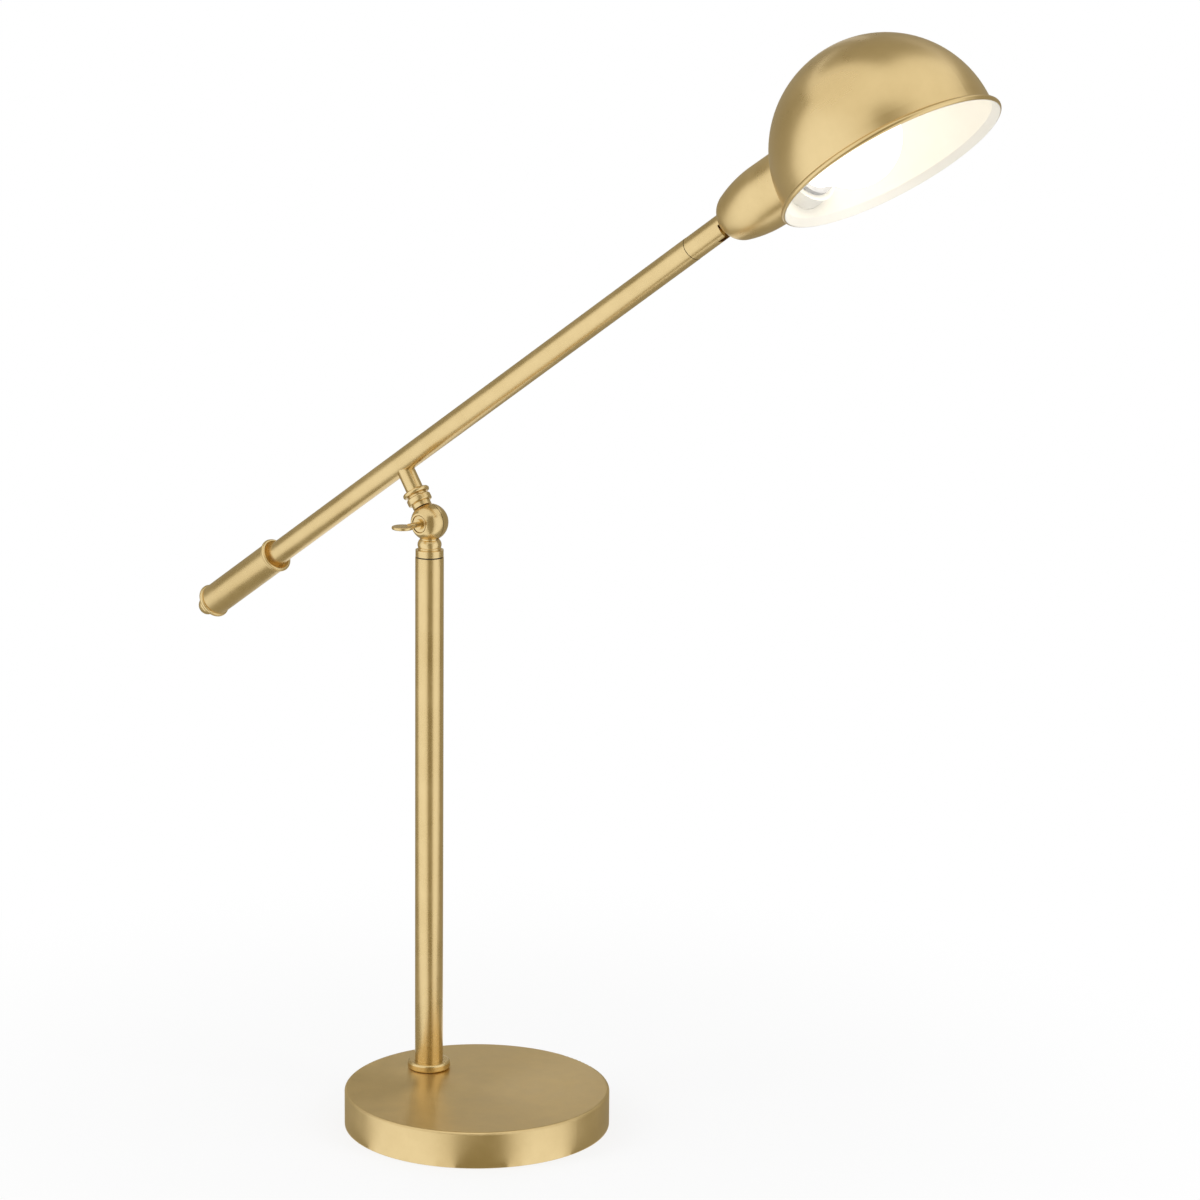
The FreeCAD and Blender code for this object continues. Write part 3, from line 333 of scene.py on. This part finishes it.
# Close to the lamp this share of the floor's look is lit paper, which shows the shadow. Between
# these two distances from the middle of the base it fades to plain white.
SHADOW_SHARE = 0.2
FADE_START = 0.15
FADE_END = 0.6
WORLD_LIGHT = 0.75


def add_object(name, data):
    item = bpy.data.objects.new(name, data)
    bpy.context.scene.collection.objects.link(item)
    return item


def add_mesh(name, points, faces):
    mesh = bpy.data.meshes.new(name)
    mesh.from_pydata(points, [], faces)
    return add_object(name, mesh)


def direct_rays(tree):
    """1 for rays from the camera, mirrors and glass, else 0."""
    path = tree.nodes.new("ShaderNodeLightPath")
    total = path.outputs["Is Camera Ray"]
    for name in ("Is Glossy Ray", "Is Transmission Ray"):
        step = tree.nodes.new("ShaderNodeMath")
        step.operation = "MAXIMUM"
        tree.links.new(total, step.inputs[0])
        tree.links.new(path.outputs[name], step.inputs[1])
        total = step.outputs[0]
    return total


def make_floor():
    """Paper with a share of the lamp's shadow close to it, and plain white farther out."""
    half = FLOOR_SIZE / 2
    corners = [(-half, -half, 0.0), (half, -half, 0.0), (half, half, 0.0), (-half, half, 0.0)]
    floor = add_mesh("floor", corners, [(0, 1, 2, 3)])
    make = Nodes("floor_paper")
    make.set(Base_Color=PAPER, Roughness=PAPER_ROUGH, Specular_IOR_Level=PAPER_SHINE)
    length = make.add("ShaderNodeVectorMath", operation="LENGTH")
    make.link(make.add("ShaderNodeTexCoord").outputs["Object"], length.inputs[0])
    fade = make.add("ShaderNodeMapRange", interpolation_type="SMOOTHSTEP")
    make.link(length.outputs["Value"], fade.inputs["Value"])
    fade.inputs["From Min"].default_value = FADE_START
    fade.inputs["From Max"].default_value = FADE_END
    fade.inputs["To Min"].default_value = 1.0 - SHADOW_SHARE
    fade.inputs["To Max"].default_value = 1.0
    share = make.math("MULTIPLY", fade.outputs[0], direct_rays(make.tree))
    blend = make.add("ShaderNodeMixShader")
    make.link(share, blend.inputs["Fac"])
    make.link(make.shader.outputs[0], blend.inputs[1])
    make.link(make.glow(WHITE), blend.inputs[2])
    make.link(blend.outputs[0], make.surface)
    floor.data.materials.append(make.material)


def make_world():
    """A white world that is dimmer where it only lights the lamp."""
    world = bpy.data.worlds.new("studio")
    world.use_nodes = True
    tree = world.node_tree
    background = tree.nodes["Background"]
    background.inputs["Color"].default_value = WHITE
    strength = tree.nodes.new("ShaderNodeMapRange")
    tree.links.new(direct_rays(tree), strength.inputs["Value"])
    strength.inputs["To Min"].default_value = WORLD_LIGHT
    strength.inputs["To Max"].default_value = 1.0
    tree.links.new(strength.outputs[0], background.inputs["Strength"])
    bpy.context.scene.world = world


# ---------------------------------------------------------------- studio panels and lights
# A turn is in degrees about the base: 0 points at the camera, and 90 to the right of its view.
CAMERA_BEARING = math.radians(-49.35)
BASE_RADIUS = 0.0895
PANEL_DISTANCE = 4.0
PANEL_HEIGHT = 3.2
FRONT_HEIGHT = 5.0
PANEL_LIFT = 0.0005
PANEL_STEPS = 24
DARK = (0.34, 0.30, 0.20, 1.0)
DIM = (0.38, 0.35, 0.27, 1.0)
BRIGHT = (1.10, 1.13, 1.20, 1.0)
# Name, first and last turn, colour, and height.
PANELS = (
    ("flag_front", -15.0, 30.0, DARK, FRONT_HEIGHT),
    ("flag_right", 92.0, 180.0, DIM, PANEL_HEIGHT),
    ("flag_left", -180.0, -104.0, DIM, PANEL_HEIGHT),
    ("soft_left", -96.0, -32.0, BRIGHT, PANEL_HEIGHT),
    ("soft_right", 42.0, 84.0, BRIGHT, PANEL_HEIGHT),
)
TOP_TURN = 180.0
TOP_DISTANCE = 2.2
TOP_HALF = 1.6
LIGHT_TARGET = Vector((0.05, 0.0, 0.35))
# Name, place, width and height, and watts.
LIGHTS = (
    ("key", Vector((-1.2, -1.9, 1.6)), (0.9, 1.6), 18.0),
    ("fill", Vector((2.0, 0.4, 1.2)), (0.8, 1.6), 10.0),
)


def from_camera(turn, distance, height):
    """A point at a turn about the base."""
    angle = math.radians(turn) + CAMERA_BEARING
    return Vector((distance * math.cos(angle), distance * math.sin(angle), height))


def stage_panel(name, points, faces, color):
    """A panel that only reflections show."""
    panel = add_mesh(name, points, faces)
    for kind in ("camera", "diffuse", "shadow", "transmission", "volume_scatter"):
        setattr(panel, "visible_" + kind, False)
    make = Nodes(name)
    make.link(make.glow(color), make.surface)
    panel.data.materials.append(make.material)


def standing_panel(name, first, last, color, height):
    """A panel that runs out from the base just over the floor, and then stands up as a wall."""
    points = []
    faces = []
    for step in range(PANEL_STEPS + 1):
        turn = first + (last - first) * step / PANEL_STEPS
        near = from_camera(turn / 2, BASE_RADIUS, PANEL_LIFT)
        far = near + from_camera(turn, PANEL_DISTANCE, 0.0)
        points += [near, far, far + Vector((0.0, 0.0, height))]
        if step:
            row = 3 * step - 3
            faces += [(row, row + 3, row + 4, row + 1), (row + 1, row + 4, row + 5, row + 2)]
    stage_panel(name, points, faces, color)


def top_panel():
    """A level panel overhead, behind the lamp."""
    middle = from_camera(TOP_TURN, TOP_DISTANCE, PANEL_HEIGHT)
    corners = [middle + Vector((x * TOP_HALF, y * TOP_HALF, 0.0))
               for x, y in ((-1, -1), (1, -1), (1, 1), (-1, 1))]
    stage_panel("flag_top", corners, [(0, 1, 2, 3)], DIM)


def area_light(name, place, size, watts):
    """A soft light that no reflection shows."""
    lamp = bpy.data.lights.new(name, "AREA")
    lamp.shape = "RECTANGLE"
    lamp.size, lamp.size_y = size
    lamp.energy = watts
    holder = add_object(name, lamp)
    holder.location = place
    holder.rotation_euler = (LIGHT_TARGET - place).to_track_quat("-Z", "Y").to_euler()
    holder.visible_glossy = False


make_floor()
make_world()
for panel_row in PANELS:
    standing_panel(*panel_row)
top_panel()
for light_row in LIGHTS:
    area_light(*light_row)

# ---------------------------------------------------------------- camera
CAMERA_PLACE = Vector((1.7231, -1.8854, 0.9360))
CAMERA_HEADING = math.radians(40.65)
CAMERA_PITCH = math.radians(12.68)
CAMERA_ROLL = 0.0108
CAMERA_LENS = 120.0
SENSOR = 36.0


def make_camera():
    forward = Vector((-math.sin(CAMERA_HEADING) * math.cos(CAMERA_PITCH),
                      math.cos(CAMERA_HEADING) * math.cos(CAMERA_PITCH), -math.sin(CAMERA_PITCH)))
    level = Vector((math.cos(CAMERA_HEADING), math.sin(CAMERA_HEADING), 0.0))
    upward = level.cross(forward)
    right = level * math.cos(CAMERA_ROLL) + upward * math.sin(CAMERA_ROLL)
    back = -forward
    turn = Matrix((right, back.cross(right), back)).transposed().to_4x4()
    data = bpy.data.cameras.new("camera")
    data.lens = CAMERA_LENS
    data.sensor_width = SENSOR
    camera = add_object("camera", data)
    camera.matrix_world = Matrix.Translation(CAMERA_PLACE) @ turn
    bpy.context.scene.camera = camera


make_camera()
bpy.context.scene.view_settings.view_transform = "Standard"
